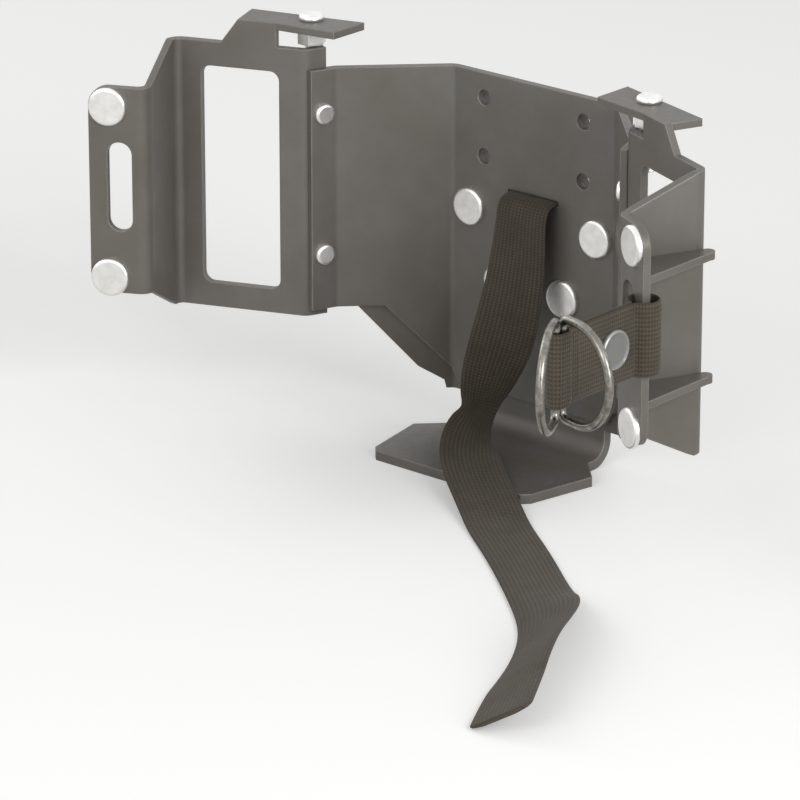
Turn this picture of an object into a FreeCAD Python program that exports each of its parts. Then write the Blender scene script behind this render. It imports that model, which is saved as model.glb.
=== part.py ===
import FreeCAD, Part
import math
import os
from FreeCAD import Placement, Rotation, Vector

# Can holder for a small jerry can, folded from steel sheet and fixed by its back to a case or a wall.
# Frame: origin in the middle of the ledge's underside. X is right, -Y is out towards the user, Z is up.
# Millimetres.
doc = FreeCAD.newDocument("can_holder")

# Driving dimensions
SIZES = [
    ("rear_face_place", 35.0),
    ("sheet_thickness", 3.0),
    ("foot_thickness", 4.0),
    ("bend_radius", 3.0),
    ("back_half_width", 41.0),
    ("flank_reach", 32.5),
    ("cheek_reach", 10.5),
    ("cheek_spread", 4.0),
    ("panel_reach", 20.5),
    ("panel_spread", 50.5),
    ("side_reach", 31.0),
    ("side_spread", 14.5),
    ("wing_width", 24.6),
    ("wing_angle", 26.5),
    ("bracket_below_slot", 57.8),
    ("bracket_above_slot", 52.2),
    ("wing_below_slot", 43.8),
    ("wing_above_slot", 40.7),
    ("wing_corner_radius", 8.0),
    ("rail_height", 10.0),
    ("stile_width", 11.0),
    ("window_corner_radius", 4.0),
    ("slot_length", 36.5),
    ("slot_width", 10.0),
    ("slot_edge_distance", 7.5),
    ("slot_middle_height", 105.8),
    ("wing_rivet_edge", 8.1),
    ("wing_rivet_lower_edge", 6.5),
    ("wing_rivet_upper_edge", 8.0),
    ("wing_rivet_radius", 7.7),
    ("rivet_head_height", 2.2),
    ("rivet_shank_radius", 3.0),
    ("rivet_tail_radius", 4.4),
    ("rivet_tail_height", 1.6),
    ("gusset_thickness", 3.0),
    ("gusset_below_slot", 28.3),
    ("gusset_above_slot", 19.7),
    ("gusset_tip_radius", 2.6),
    ("cradle_bottom", 18.6),
    ("cradle_corner", 3.5),
    ("flank_edge_rise", 5.5),
    ("flank_edge_level", 51.0),
    ("cradle_top", 150.0),
    ("cradle_edge_radius", 6.0),
    ("ledge_depth", 58.0),
    ("ledge_front_half_width", 40.0),
    ("ledge_half_width", 46.0),
    ("ledge_shoulder", 25.0),
    ("ledge_bend_radius", 6.5),
    ("tongue_half_width", 35.0),
    ("tongue_top", 15.0),
    ("foot_rim", 3.0),
    ("foot_rim_start", 3.0),
    ("foot_rim_end", 13.5),
    ("foot_arm_top", 88.0),
    ("foot_arm_top_drop", 10.0),
    ("foot_plate_top", 146.0),
    ("back_rivet_radius", 7.7),
    ("back_rivet_inner_place", 16.0),
    ("back_rivet_inner_height", 66.0),
    ("back_rivet_outer_place", 32.0),
    ("back_rivet_outer_height", 94.0),
    ("cheek_rivet_radius", 4.2),
    ("cheek_rivet_low", 74.0),
    ("cheek_rivet_high", 132.0),
    ("mount_hole_radius", 3.25),
    ("mount_hole_place", 25.0),
    ("mount_hole_height", 128.0),
    ("mount_hole_spacing", 24.0),
    ("strap_slot_height", 104.0),
    ("strap_window_height", 14.0),
    ("strap_width", 25.0),
    ("strap_thickness", 1.6),
    ("strap_clearance", 0.4),
    ("tab_rise", 7.0),
    ("tab_start", 12.0),
    ("tab_end", 36.0),
    ("tab_slope", 8.0),
    ("top_plate_depth", 16.0),
    ("top_plate_inner_end", 66.0),
    ("top_plate_overhang", 5.0),
    ("bolt_along", 0.5),
    ("bolt_behind", 9.0),
    ("bolt_radius", 3.0),
    ("bolt_length", 27.0),
    ("bolt_head_radius", 5.0),
    ("bolt_head_height", 2.6),
    ("washer_radius", 6.0),
    ("washer_thickness", 1.4),
    ("nut_height", 5.0),
    ("ring_wire_radius", 1.6),
    ("ring_height", 38.0),
    ("ring_straight", 9.0),
    ("ring_corner_radius", 3.5),
    ("short_strap_width", 28.5),
    ("short_strap_length", 46.0),
    ("short_strap_turn", 0.0),
    ("short_strap_bight", 5.2),
    ("snap_radius", 7.6),
    ("snap_height", 2.4),
    ("snap_place", 19.0),
]
sheet = doc.addObject("Spreadsheet::Sheet", "Sizes")
for row, (alias, value) in enumerate(SIZES, start=1):
    sheet.set(f"A{row}", alias)
    sheet.set(f"B{row}", str(value))
    sheet.setAlias(f"B{row}", alias)
doc.recompute()


def size(alias):
    return float(sheet.get(alias))


# Paths seen from above, and outlines made from them
def offset_path(points, distance):
    """Points moved to the left of their path by a distance, with mitred corners."""
    moved = []
    for index, point in enumerate(points):
        before = (point - points[index - 1]).normalize() if index > 0 else None
        after = (points[index + 1] - point).normalize() if index < len(points) - 1 else None
        first = before or after
        second = after or before
        left_first = Vector(-first.y, first.x, 0)
        left_second = Vector(-second.y, second.x, 0)
        middle = (left_first + left_second).normalize()
        moved.append(point + middle * (distance / middle.dot(left_first)))
    return moved


def rounded_run(points, radii):
    """Lines and tangent arcs along a path, with a radius at each inner corner (0 leaves it sharp)."""
    pieces = []
    start = points[0]
    for index in range(1, len(points) - 1):
        corner = points[index]
        arriving = (corner - points[index - 1]).normalize()
        leaving = (points[index + 1] - corner).normalize()
        turn = arriving.getAngle(leaving)
        radius = radii[index]
        if radius <= 0 or turn < 1e-6:
            pieces.append(Part.LineSegment(start, corner))
            start = corner
            continue
        reach = radius * math.tan(turn / 2)
        enter = corner - arriving * reach
        leave = corner + leaving * reach
        bisector = (leaving - arriving).normalize()
        centre = corner + bisector * (radius / math.cos(turn / 2))
        pieces.append(Part.LineSegment(start, enter))
        pieces.append(Part.Arc(enter, centre - bisector * radius, leave))
        start = leave
    pieces.append(Part.LineSegment(start, points[-1]))
    return pieces


def strip_outline(points, thickness, inner_radius):
    """Closed outline of a folded strip: its path is one face, the other face lies to the left."""
    far = offset_path(points, thickness)
    near_radii = [0.0] * len(points)
    far_radii = [0.0] * len(points)
    for index in range(1, len(points) - 1):
        arriving = points[index] - points[index - 1]
        leaving = points[index + 1] - points[index]
        turns_left = arriving.x * leaving.y - arriving.y * leaving.x > 0
        near_radii[index] = inner_radius + thickness if turns_left else inner_radius
        far_radii[index] = inner_radius if turns_left else inner_radius + thickness
    near = rounded_run(points, near_radii)
    back = rounded_run(far[::-1], far_radii[::-1])
    return near + [Part.LineSegment(points[-1], far[-1])] + back + [Part.LineSegment(far[0], points[0])]


def polygon_outline(points, radius=0.0):
    """Closed outline through corner points, each rounded by one radius."""
    count = len(points)
    start = (points[0] + points[-1]) * 0.5
    ring = [start] + list(points) + [start]
    return rounded_run(ring, [0.0] + [radius] * count + [0.0])


def slot_outline(length, width):
    """Upright slot with round ends, about the origin."""
    half = width / 2
    straight = length / 2 - half
    right_low, right_high = Vector(half, -straight, 0), Vector(half, straight, 0)
    left_low, left_high = Vector(-half, -straight, 0), Vector(-half, straight, 0)
    return [
        Part.LineSegment(right_low, right_high),
        Part.Arc(right_high, Vector(0, length / 2, 0), left_high),
        Part.LineSegment(left_high, left_low),
        Part.Arc(left_low, Vector(0, -length / 2, 0), right_low),
    ]


# Features of a body
def origin_plane(body, role):
    return [item for item in body.Origin.OriginFeatures if item.Role == role][0]


def add_sketch(body, name, outlines, place=None, role="XY_Plane"):
    sketch = body.newObject("Sketcher::SketchObject", name)
    sketch.AttachmentSupport = [(origin_plane(body, role), "")]
    sketch.MapMode = "FlatFace"
    if place is not None:
        sketch.AttachmentOffset = place
    for outline in outlines:
        sketch.addGeometry(outline, False)
    return sketch


def pad(body, name, sketch, length, midplane=False):
    feature = body.newObject("PartDesign::Pad", name)
    feature.Profile = sketch
    feature.setExpression("Length", length)
    feature.Midplane = midplane
    doc.recompute()
    return feature


def cut(body, name, outlines, place, depth, midplane=False, role="XY_Plane"):
    """Pocket from a sketch that stands at a place of its own; it has to take material away."""
    before = body.Shape.Volume
    feature = body.newObject("PartDesign::Pocket", name)
    feature.Profile = add_sketch(body, name + "_outline", outlines, place, role)
    feature.setExpression("Length", depth)
    feature.Midplane = midplane
    doc.recompute()
    if not body.Shape.Volume < before - 1e-3:
        raise RuntimeError(name + " cuts nothing")
    return feature


def facing(point, normal, up=Vector(0, 0, 1)):
    """Placement whose Z axis is the normal and whose Y axis is close to up."""
    axis = Vector(normal).normalize()
    across = up.cross(axis).normalize()
    upward = axis.cross(across)
    return Placement(Vector(point), Rotation(across, upward, axis, "ZXY"))


def round_edges(body, name, chosen, radius):
    """Fillet on the edges of the body that the test picks."""
    base = body.Tip
    names = [f"Edge{i}" for i, edge in enumerate(base.Shape.Edges, start=1) if chosen(edge)]
    if not names:
        raise RuntimeError(name + " finds no edge")
    feature = body.newObject("PartDesign::Fillet", name)
    feature.Base = (base, names)
    feature.setExpression("Radius", radius)
    doc.recompute()
    return feature


def across_thickness(edge, direction, thickness):
    """True for a straight edge that crosses the sheet along a direction."""
    if len(edge.Vertexes) != 2 or edge.Curve.TypeId != "Part::GeomLine":
        return False
    run = edge.Vertexes[1].Point - edge.Vertexes[0].Point
    return abs(run.Length - thickness) < 0.05 and run.normalize().cross(direction).Length < 0.01


parts = {}


def keep(name, item):
    item.Label = name
    parts[name] = item
    return item


def new_body(name):
    return keep(name, doc.addObject("PartDesign::Body", name + "_body"))


def mirrored(name, source):
    twin = doc.addObject("Part::Mirroring", name + "_mirror")
    twin.Source = source
    twin.Base = Vector(0, 0, 0)
    twin.Normal = Vector(1, 0, 0)
    return keep(name, twin)


thickness = size("sheet_thickness")
foot_thickness = size("foot_thickness")
bend = size("bend_radius")

# Corners of the folded sheet, seen from above, on the side where the can stands.
# back_corner: back plate to flank. flank_corner: flank to cheek. cheek_end: front edge of the cheek.
# panel_end: framed panel to side wall. wing_root: side wall to wing. wing_end: outer edge of the wing.
rear = size("rear_face_place")
back_face = rear - foot_thickness - thickness
back_corner = Vector(size("back_half_width"), back_face, 0)
flank_corner = back_corner + Vector(size("flank_reach"), -size("flank_reach"), 0)
cheek_end = flank_corner + Vector(size("cheek_spread"), -size("cheek_reach"), 0)
cheek_line = (cheek_end - flank_corner).normalize()
cheek_normal = Vector(-cheek_line.y, cheek_line.x, 0)
panel_start = cheek_end + cheek_normal * thickness + cheek_line
panel_end = panel_start + Vector(size("panel_spread"), -size("panel_reach"), 0)
panel_line = (panel_end - panel_start).normalize()
panel_normal = Vector(panel_line.y, -panel_line.x, 0)
wing_root = panel_end + Vector(-size("side_spread"), -size("side_reach"), 0)
wing_angle = math.radians(size("wing_angle"))
wing_line = Vector(math.cos(wing_angle), -math.sin(wing_angle), 0)
wing_normal = Vector(wing_line.y, -wing_line.x, 0)
wing_end = wing_root + wing_line * size("wing_width")
flank_normal = Vector(-1, -1, 0).normalize()


def mirror_x(point):
    return Vector(-point.x, point.y, point.z)


# Heights of the wing bracket, all taken from the middle of the wing's slot
slot_middle = size("slot_middle_height")
bracket_bottom = slot_middle - size("bracket_below_slot")
bracket_top = slot_middle + size("bracket_above_slot")
wing_bottom = slot_middle - size("wing_below_slot")
wing_top = slot_middle + size("wing_above_slot")
wing_rivet_heights = {"low": wing_bottom + size("wing_rivet_lower_edge"),
                      "high": wing_top - size("wing_rivet_upper_edge")}
gusset_heights = {"low": slot_middle - size("gusset_below_slot"), "high": slot_middle + size("gusset_above_slot")}


# Cradle: back plate, two flanks and two cheeks folded from one sheet, where the can's back fits
cradle_half = [back_corner, flank_corner, cheek_end]
cradle_path = [mirror_x(point) for point in cradle_half[::-1]] + cradle_half
cradle = new_body("cradle")
cradle_sketch = add_sketch(
    cradle, "cradle_plan", [strip_outline(cradle_path, thickness, bend)],
    Placement(Vector(0, 0, size("cradle_bottom")), Rotation()))
pad(cradle, "cradle_sheet", cradle_sketch, "Sizes.cradle_top - Sizes.cradle_bottom")
# The lower corners of the back plate are cut off, and the lower edge of each flank goes on up at about
# 45 degrees, then runs level under the cheek
flank_length = (flank_corner - back_corner).Length
level = size("flank_edge_level")
low = size("cradle_bottom")
flank_start = low + size("flank_edge_rise")
past = size("cheek_reach") + size("cheek_spread") + thickness
for side, corner, outward in (("right", back_corner, 1), ("left", mirror_x(back_corner), -1)):
    normal = Vector(-outward, -1, 0).normalize()
    lower_edge = [
        Vector(0, low - 1, 0),
        Vector(0, flank_start, 0),
        Vector(outward * (level - flank_start), level, 0),
        Vector(outward * (flank_length + past), level, 0),
        Vector(outward * (flank_length + past), low - 1, 0),
    ]
    cut(cradle, f"cradle_{side}_edge", [polygon_outline(lower_edge)],
        facing(corner + normal * past, normal), "2 * Sizes.flank_reach + 2 * Sizes.cheek_reach")
    corner_waste = [
        Vector(corner.x - outward * size("cradle_corner"), low, 0),
        Vector(corner.x - outward * size("cradle_corner"), low - 5, 0),
        Vector(corner.x + outward * thickness, low - 5, 0),
        Vector(corner.x + outward * thickness, flank_start, 0),
        Vector(corner.x, flank_start, 0),
    ]
    cut(cradle, f"cradle_{side}_corner", [polygon_outline(corner_waste)],
        facing(Vector(0, back_face - thickness, 0), Vector(0, -1, 0)), "3 * Sizes.sheet_thickness")

# Slot for the long strap, holes for the fixing screws and for the rivets
back_front = Vector(0, back_face, 0)
front = Vector(0, -1, 0)
def box_outline(half_width, half_height, radius=0.0):
    return polygon_outline([
        Vector(-half_width, -half_height, 0), Vector(half_width, -half_height, 0),
        Vector(half_width, half_height, 0), Vector(-half_width, half_height, 0)], radius)


slot_half_width = size("strap_width") / 2 + size("strap_clearance")
slot_half_opening = size("strap_thickness") / 2 + size("strap_clearance")
strap_slot = box_outline(slot_half_width, slot_half_opening, slot_half_opening * 0.8)
cut(cradle, "strap_slot", [strap_slot],
    facing(back_front + Vector(0, 0, size("strap_slot_height")), front), "2 * Sizes.sheet_thickness")
mount_points = [
    Vector(x, back_face, size("mount_hole_height") + z)
    for x in (-size("mount_hole_place"), size("mount_hole_place"))
    for z in (-size("mount_hole_spacing") / 2, size("mount_hole_spacing") / 2)
]
for index, point in enumerate(mount_points):
    hole = [Part.Circle(Vector(0, 0, 0), Vector(0, 0, 1), size("mount_hole_radius"))]
    cut(cradle, f"mount_hole_{index}", [hole], facing(point, front), "2 * Sizes.sheet_thickness")
back_rivet_points = {
    f"back_rivet_{side}_{level_name}": Vector(sign * size(f"back_rivet_{row}_place"), back_face,
                                              size(f"back_rivet_{row}_height"))
    for side, sign in (("left", -1), ("right", 1))
    for level_name, row in (("lower", "inner"), ("upper", "outer"))
}
shank = [Part.Circle(Vector(0, 0, 0), Vector(0, 0, 1), size("rivet_shank_radius"))]
for name, point in back_rivet_points.items():
    cut(cradle, name + "_hole", [shank], facing(point, front), "2 * Sizes.sheet_thickness")
cheek_middle = (flank_corner + cheek_end) * 0.5
cheek_rivets = {}
for level_name in ("low", "high"):
    point = cheek_middle + Vector(0, 0, size("cheek_rivet_" + level_name))
    cheek_rivets[level_name] = point
    for side, place in (("right", facing(point, cheek_normal * -1)),
                        ("left", facing(mirror_x(point), mirror_x(cheek_normal * -1)))):
        cut(cradle, f"cheek_hole_{side}_{level_name}", [shank], place, "2 * Sizes.sheet_thickness")

# Foot bracket: thick sheet behind the cradle, with a tongue that bends forward into the ledge
foot_path = offset_path(cradle_path, thickness)[1:-1]
foot = new_body("foot_bracket")
ledge_front = rear - size("ledge_depth")
bend_outer = size("ledge_bend_radius") + foot_thickness
tongue_front = rear - foot_thickness
ledge_profile = (
    rounded_run([Vector(ledge_front, 0, 0), Vector(rear, 0, 0), Vector(rear, size("tongue_top"), 0)],
                [0, bend_outer, 0])
    + [Part.LineSegment(Vector(rear, size("tongue_top"), 0), Vector(tongue_front, size("tongue_top"), 0))]
    + rounded_run([Vector(tongue_front, size("tongue_top"), 0),
                   Vector(tongue_front, foot_thickness, 0), Vector(ledge_front, foot_thickness, 0)],
                  [0, size("ledge_bend_radius"), 0])
    + [Part.LineSegment(Vector(ledge_front, foot_thickness, 0), Vector(ledge_front, 0, 0))])
ledge_sketch = add_sketch(foot, "ledge_profile", [ledge_profile], None, "YZ_Plane")
pad(foot, "ledge", ledge_sketch, "2 * Sizes.ledge_half_width", True)
tongue = size("tongue_half_width")
shoulder = rear - size("ledge_shoulder")
spare = size("ledge_half_width") + 10
for side, sign in (("right", 1), ("left", -1)):
    waste = [
        Vector(sign * tongue, rear + 5, 0),
        Vector(sign * tongue, shoulder + 11, 0),
        Vector(sign * size("ledge_half_width"), shoulder, 0),
        Vector(sign * size("ledge_front_half_width"), ledge_front + 3, 0),
        Vector(sign * (size("ledge_front_half_width") - 3), ledge_front, 0),
        Vector(sign * (size("ledge_front_half_width") - 3), ledge_front - 5, 0),
        Vector(sign * spare, ledge_front - 5, 0),
        Vector(sign * spare, rear + 5, 0),
    ]
    cut(foot, f"ledge_{side}_side", [polygon_outline(waste)],
        Placement(Vector(0, 0, size("tongue_top") + 5), Rotation()), "Sizes.tongue_top + 10")
arms_sketch = add_sketch(
    foot, "arms_plan", [strip_outline(foot_path, foot_thickness, bend)],
    Placement(Vector(0, 0, size("tongue_top") - 0.5), Rotation()))
pad(foot, "arms", arms_sketch, "Sizes.foot_plate_top - Sizes.tongue_top + 0.5")
arm_low = size("tongue_top")
for side, corner, outward in (("right", back_corner, 1), ("left", mirror_x(back_corner), -1)):
    normal = Vector(-outward, -1, 0).normalize()
    reach = flank_length + 20
    lower_edge = [
        Vector(outward, arm_low - 5, 0),
        Vector(outward * size("foot_rim_start"), arm_low + size("foot_rim"), 0),
        Vector(outward * size("foot_rim_end"), arm_low + 3 * size("foot_rim"), 0),
        Vector(outward * reach, arm_low + 3 * size("foot_rim") + 1.08 * (reach - size("foot_rim_end")), 0),
        Vector(outward * reach, arm_low - 5, 0),
    ]
    cut(foot, f"arm_{side}_lower_edge", [polygon_outline(lower_edge)],
        facing(corner + normal * past, normal), "2 * Sizes.flank_reach + 2 * Sizes.cheek_reach")
    upper_edge = [
        Vector(-outward * 1.5, size("foot_plate_top") + 5, 0),
        Vector(-outward * 1.5, size("foot_arm_top"), 0),
        Vector(outward * reach, size("foot_arm_top") - size("foot_arm_top_drop"), 0),
        Vector(outward * reach, size("foot_plate_top") + 5, 0),
    ]
    cut(foot, f"arm_{side}_upper_edge", [polygon_outline(upper_edge)],
        facing(corner + normal * past, normal), "2 * Sizes.flank_reach + 2 * Sizes.cheek_reach")
# Window behind the strap's slot, where the webbing's sewn end lies, and the fixing holes
cut(foot, "strap_window", [box_outline(slot_half_width + 3, size("strap_window_height") / 2, 3.0)],
    facing(back_front + Vector(0, 0, size("strap_slot_height")), front), "4 * Sizes.foot_thickness")
for index, point in enumerate(mount_points):
    hole = [Part.Circle(Vector(0, 0, 0), Vector(0, 0, 1), size("mount_hole_radius"))]
    cut(foot, f"foot_mount_hole_{index}", [hole], facing(point, front), "4 * Sizes.foot_thickness")
for name, point in back_rivet_points.items():
    cut(foot, name + "_foot_hole", [shank], facing(point, front), "4 * Sizes.foot_thickness")

# Wing bracket: flange on the cheek, framed panel, side wall and wing, folded from one sheet
flange_start = flank_corner + cheek_normal * thickness + cheek_line * thickness
bracket_path = [flange_start, panel_start, panel_end, wing_root, wing_end]
bracket = new_body("right_wing_bracket")
bracket_sketch = add_sketch(
    bracket, "bracket_plan", [strip_outline(bracket_path, thickness, bend)],
    Placement(Vector(0, 0, bracket_bottom), Rotation()))
pad(bracket, "bracket_sheet", bracket_sketch, "Sizes.bracket_above_slot + Sizes.bracket_below_slot")
# The side wall narrows from the panel's height to the wing's height
wing_front_y = wing_end.y - 10
for level_name, edge_z, wing_z, far_z in (
        ("upper", bracket_top, wing_top, bracket_top + 10),
        ("lower", bracket_bottom, wing_bottom, bracket_bottom - 10)):
    waste = [
        Vector(panel_end.y - thickness, edge_z, 0),
        Vector(wing_root.y + thickness, wing_z, 0),
        Vector(wing_front_y, wing_z, 0),
        Vector(wing_front_y, far_z, 0),
        Vector(panel_end.y - thickness, far_z, 0),
    ]
    cut(bracket, f"side_{level_name}_edge", [polygon_outline(waste)], None,
        "4 * Sizes.panel_spread + 4 * Sizes.back_half_width", True, "YZ_Plane")
# Window of the panel
panel_middle_z = (bracket_top + bracket_bottom) / 2
panel_length = (panel_end - panel_start).Length
window_half_width = (panel_length - 2 * size("stile_width")) / 2
window_half_height = (bracket_top - bracket_bottom) / 2 - size("rail_height")
window = [
    Vector(-window_half_width, -window_half_height, 0), Vector(window_half_width, -window_half_height, 0),
    Vector(window_half_width, window_half_height, 0), Vector(-window_half_width, window_half_height, 0),
]
panel_middle = (panel_start + panel_end) * 0.5 + Vector(0, 0, panel_middle_z)
cut(bracket, "panel_window", [polygon_outline(window, size("window_corner_radius"))],
    facing(panel_middle, panel_normal), "2 * Sizes.sheet_thickness")
# Strap slot and rivet holes of the wing
slot_line = size("wing_width") - size("slot_edge_distance") - size("slot_width") / 2
slot_point = wing_root + wing_line * slot_line + Vector(0, 0, slot_middle)
cut(bracket, "wing_slot", [slot_outline(size("slot_length"), size("slot_width"))],
    facing(slot_point, wing_normal), "2 * Sizes.sheet_thickness")
wing_rivet_line = wing_end - wing_line * size("wing_rivet_edge")
wing_rivets = {row: wing_rivet_line + Vector(0, 0, wing_rivet_heights[row]) for row in ("low", "high")}
for row, point in wing_rivets.items():
    cut(bracket, f"wing_rivet_hole_{row}", [shank], facing(point, wing_normal), "2 * Sizes.sheet_thickness")
for row, point in cheek_rivets.items():
    cut(bracket, f"flange_rivet_hole_{row}", [shank], facing(point, cheek_normal * -1),
        "4 * Sizes.sheet_thickness")
round_edges(
    bracket, "wing_corners",
    lambda edge: across_thickness(edge, wing_normal, thickness)
    and (edge.CenterOfMass - wing_end).dot(wing_line) > -1,
    "Sizes.wing_corner_radius")
# Tab that rises from the upper rail, and the level plate bent back from it, which carries the clamp bolt
tab = [
    Vector(size("tab_start"), bracket_top - 1, 0),
    Vector(size("tab_end"), bracket_top - 1, 0),
    Vector(size("tab_end") - size("tab_slope"), bracket_top + size("tab_rise") + thickness, 0),
    Vector(size("tab_start"), bracket_top + size("tab_rise") + thickness, 0),
]
tab_sketch = add_sketch(
    bracket, "tab_outline", [polygon_outline(tab)],
    Placement(panel_start, Rotation(panel_line, Vector(0, 0, 1), panel_normal, "ZXY")))
tab_pad = pad(bracket, "tab", tab_sketch, "Sizes.sheet_thickness")
tab_pad.Reversed = True
doc.recompute()
back_way = panel_normal * -1
plate_height = bracket_top + size("tab_rise")
plate_front = panel_start + panel_line * size("tab_start")
plate_outer = panel_start + panel_line * (size("tab_end") - size("tab_slope"))
inner_end = size("top_plate_inner_end")
plate_corners = [
    plate_outer,
    plate_outer + back_way * size("top_plate_depth"),
    Vector(inner_end, flank_corner.y + size("top_plate_overhang") + 3, 0),
    Vector(inner_end, flank_corner.y - 2 * size("top_plate_overhang"), 0),
    plate_front,
]
plate_sketch = add_sketch(
    bracket, "top_plate_plan", [polygon_outline(plate_corners)],
    Placement(Vector(0, 0, plate_height), Rotation()))
pad(bracket, "top_plate", plate_sketch, "Sizes.sheet_thickness")
bolt_place = panel_start + panel_line * size("bolt_along") + back_way * size("bolt_behind")
bolt_hole = [Part.Circle(Vector(0, 0, 0), Vector(0, 0, 1), size("bolt_radius"))]
cut(bracket, "bolt_hole", [bolt_hole],
    Placement(bolt_place + Vector(0, 0, plate_height + 10), Rotation()), "10 + Sizes.sheet_thickness")
mirrored("left_wing_bracket", bracket)

# Gussets: small level triangles welded into the outer corner between side wall and wing
side_line = (wing_root - panel_end).normalize()
side_normal = Vector(-side_line.y, side_line.x, 0)
wall_outer = [panel_end + side_normal * thickness, wing_root + side_normal * thickness]
wing_rear = [wing_root - wing_normal * thickness, wing_end - wing_normal * thickness]
# The two outer faces meet at the inner side of the bend
inner_corner = offset_path([panel_end, wing_root, wing_end], thickness)[1]
corner_reach = (bend + 0.2) * math.tan(side_line.getAngle(wing_line) / 2)
gusset_points = [
    inner_corner - side_line * corner_reach,
    inner_corner + wing_line * corner_reach,
    wing_rear[1] - wing_line * 1.0,
    wall_outer[0] - side_line * 1.0 + side_normal * (2 * size("gusset_tip_radius")),
    wall_outer[0] - side_line * 1.0,
]


def gusset_outline():
    """Triangle with a bevel in the corner and a round tip beside the panel's edge."""
    bevel_wall, bevel_wing, wing_tip, tip_out, tip_in = gusset_points
    tip_middle = (tip_out + tip_in) * 0.5
    return [
        Part.LineSegment(tip_in, bevel_wall),
        Part.LineSegment(bevel_wall, bevel_wing),
        Part.LineSegment(bevel_wing, wing_tip),
        Part.LineSegment(wing_tip, tip_out),
        Part.Arc(tip_out, tip_middle - side_line * size("gusset_tip_radius"), tip_in),
    ]


for row in ("low", "high"):
    right_name = "right_gusset_" + ("lower" if row == "low" else "upper")
    body = new_body(right_name)
    sketch = add_sketch(body, right_name + "_plan", [gusset_outline()],
                        Placement(Vector(0, 0, gusset_heights[row]), Rotation()))
    pad(body, right_name + "_sheet", sketch, "Sizes.gusset_thickness")
    mirrored(right_name.replace("right", "left"), body)


# Rivets: low round head, shank through the sheets, small head behind
def rivet(name, place, head_radius, grip, flush=False):
    """Turned about its axis; the head's seat is at height 0 and the shank goes down through the grip."""
    head = size("rivet_head_height")
    tail = size("rivet_tail_radius")
    stem = size("rivet_shank_radius")
    end = -grip if flush else -grip - size("rivet_tail_height")
    edge = head * 0.55
    body = new_body(name)
    if flush:
        profile = [Part.LineSegment(Vector(0, end, 0), Vector(stem, end, 0))]
    else:
        profile = [
            Part.LineSegment(Vector(0, end, 0), Vector(tail - 1, end, 0)),
            Part.Arc(Vector(tail - 1, end, 0),
                     Vector(tail - 1 + math.sin(math.pi / 4), end + 1 - math.cos(math.pi / 4), 0),
                     Vector(tail, end + 1, 0)),
            Part.LineSegment(Vector(tail, end + 1, 0), Vector(tail, -grip, 0)),
            Part.LineSegment(Vector(tail, -grip, 0), Vector(stem, -grip, 0)),
        ]
    profile += [
        Part.LineSegment(Vector(stem, -grip, 0), Vector(stem, 0, 0)),
        Part.LineSegment(Vector(stem, 0, 0), Vector(head_radius, 0, 0)),
        Part.LineSegment(Vector(head_radius, 0, 0), Vector(head_radius, head - edge, 0)),
        Part.Arc(Vector(head_radius, head - edge, 0),
                 Vector(head_radius - edge + edge * math.cos(math.pi / 4),
                        head - edge + edge * math.sin(math.pi / 4), 0),
                 Vector(head_radius - edge, head, 0)),
        Part.LineSegment(Vector(head_radius - edge, head, 0), Vector(0, head, 0)),
        Part.LineSegment(Vector(0, head, 0), Vector(0, end, 0)),
    ]
    turned = body.newObject("PartDesign::Revolution", name + "_turned")
    turned.Profile = add_sketch(body, name + "_profile", [profile], None, "XZ_Plane")
    turned.ReferenceAxis = (turned.Profile[0], ["V_Axis"])
    turned.Angle = 360
    body.Placement = place
    return body


for name, point in back_rivet_points.items():
    rivet(name, facing(point, front), size("back_rivet_radius"), thickness + foot_thickness, True)
for row, point in wing_rivets.items():
    tag = "lower" if row == "low" else "upper"
    right = rivet("right_wing_rivet_" + tag, facing(point, wing_normal), size("wing_rivet_radius"), thickness)
    mirrored("left_wing_rivet_" + tag, right)
for row, point in cheek_rivets.items():
    tag = "lower" if row == "low" else "upper"
    # Flush behind, because the clamp bolt hangs close to the flange
    right = rivet("right_cheek_rivet_" + tag, facing(point, cheek_normal * -1),
                  size("cheek_rivet_radius"), 2 * thickness, True)
    mirrored("left_cheek_rivet_" + tag, right)

# Clamp bolt that hangs from the top plate, with its washer and nut


def upright(height):
    return Placement(Vector(bolt_place.x, bolt_place.y, height), Rotation())


def hexagon(radius):
    """Outline of a six-sided nut across its corners."""
    corners = [Vector(radius * math.cos(math.radians(60 * k)), radius * math.sin(math.radians(60 * k)), 0)
               for k in range(6)]
    return polygon_outline(corners)


bolt_seat = plate_height + thickness
bolt = new_body("right_clamp_bolt")
head_disc = [Part.Circle(Vector(0, 0, 0), Vector(0, 0, 1), size("bolt_head_radius"))]
pad(bolt, "bolt_head", add_sketch(bolt, "bolt_head_plan", [head_disc]), "Sizes.bolt_head_height")
bolt_stem = [Part.Circle(Vector(0, 0, 0), Vector(0, 0, 1), size("bolt_radius"))]
pad(bolt, "bolt_stem", add_sketch(bolt, "bolt_stem_plan", [bolt_stem],
                                  Placement(Vector(0, 0, -size("bolt_length")), Rotation())), "Sizes.bolt_length")
round_edges(bolt, "bolt_head_edge",
            lambda edge: edge.Curve.TypeId == "Part::GeomCircle"
            and edge.CenterOfMass.z > size("bolt_head_height") / 2, "0.6 * Sizes.bolt_head_height")
bolt.Placement = upright(bolt_seat)
mirrored("left_clamp_bolt", bolt)
washer = new_body("right_clamp_washer")
washer_rings = [[Part.Circle(Vector(0, 0, 0), Vector(0, 0, 1), size("washer_radius"))],
                [Part.Circle(Vector(0, 0, 0), Vector(0, 0, 1), size("bolt_radius"))]]
pad(washer, "washer_disc", add_sketch(washer, "washer_plan", washer_rings), "Sizes.washer_thickness")
washer.Placement = upright(plate_height - size("washer_thickness"))
mirrored("left_clamp_washer", washer)
nut = new_body("right_clamp_nut")
pad(nut, "nut_block", add_sketch(nut, "nut_plan", [hexagon(size("bolt_head_radius") / math.cos(math.pi / 6)),
                                                   bolt_hole]), "Sizes.nut_height")
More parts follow.
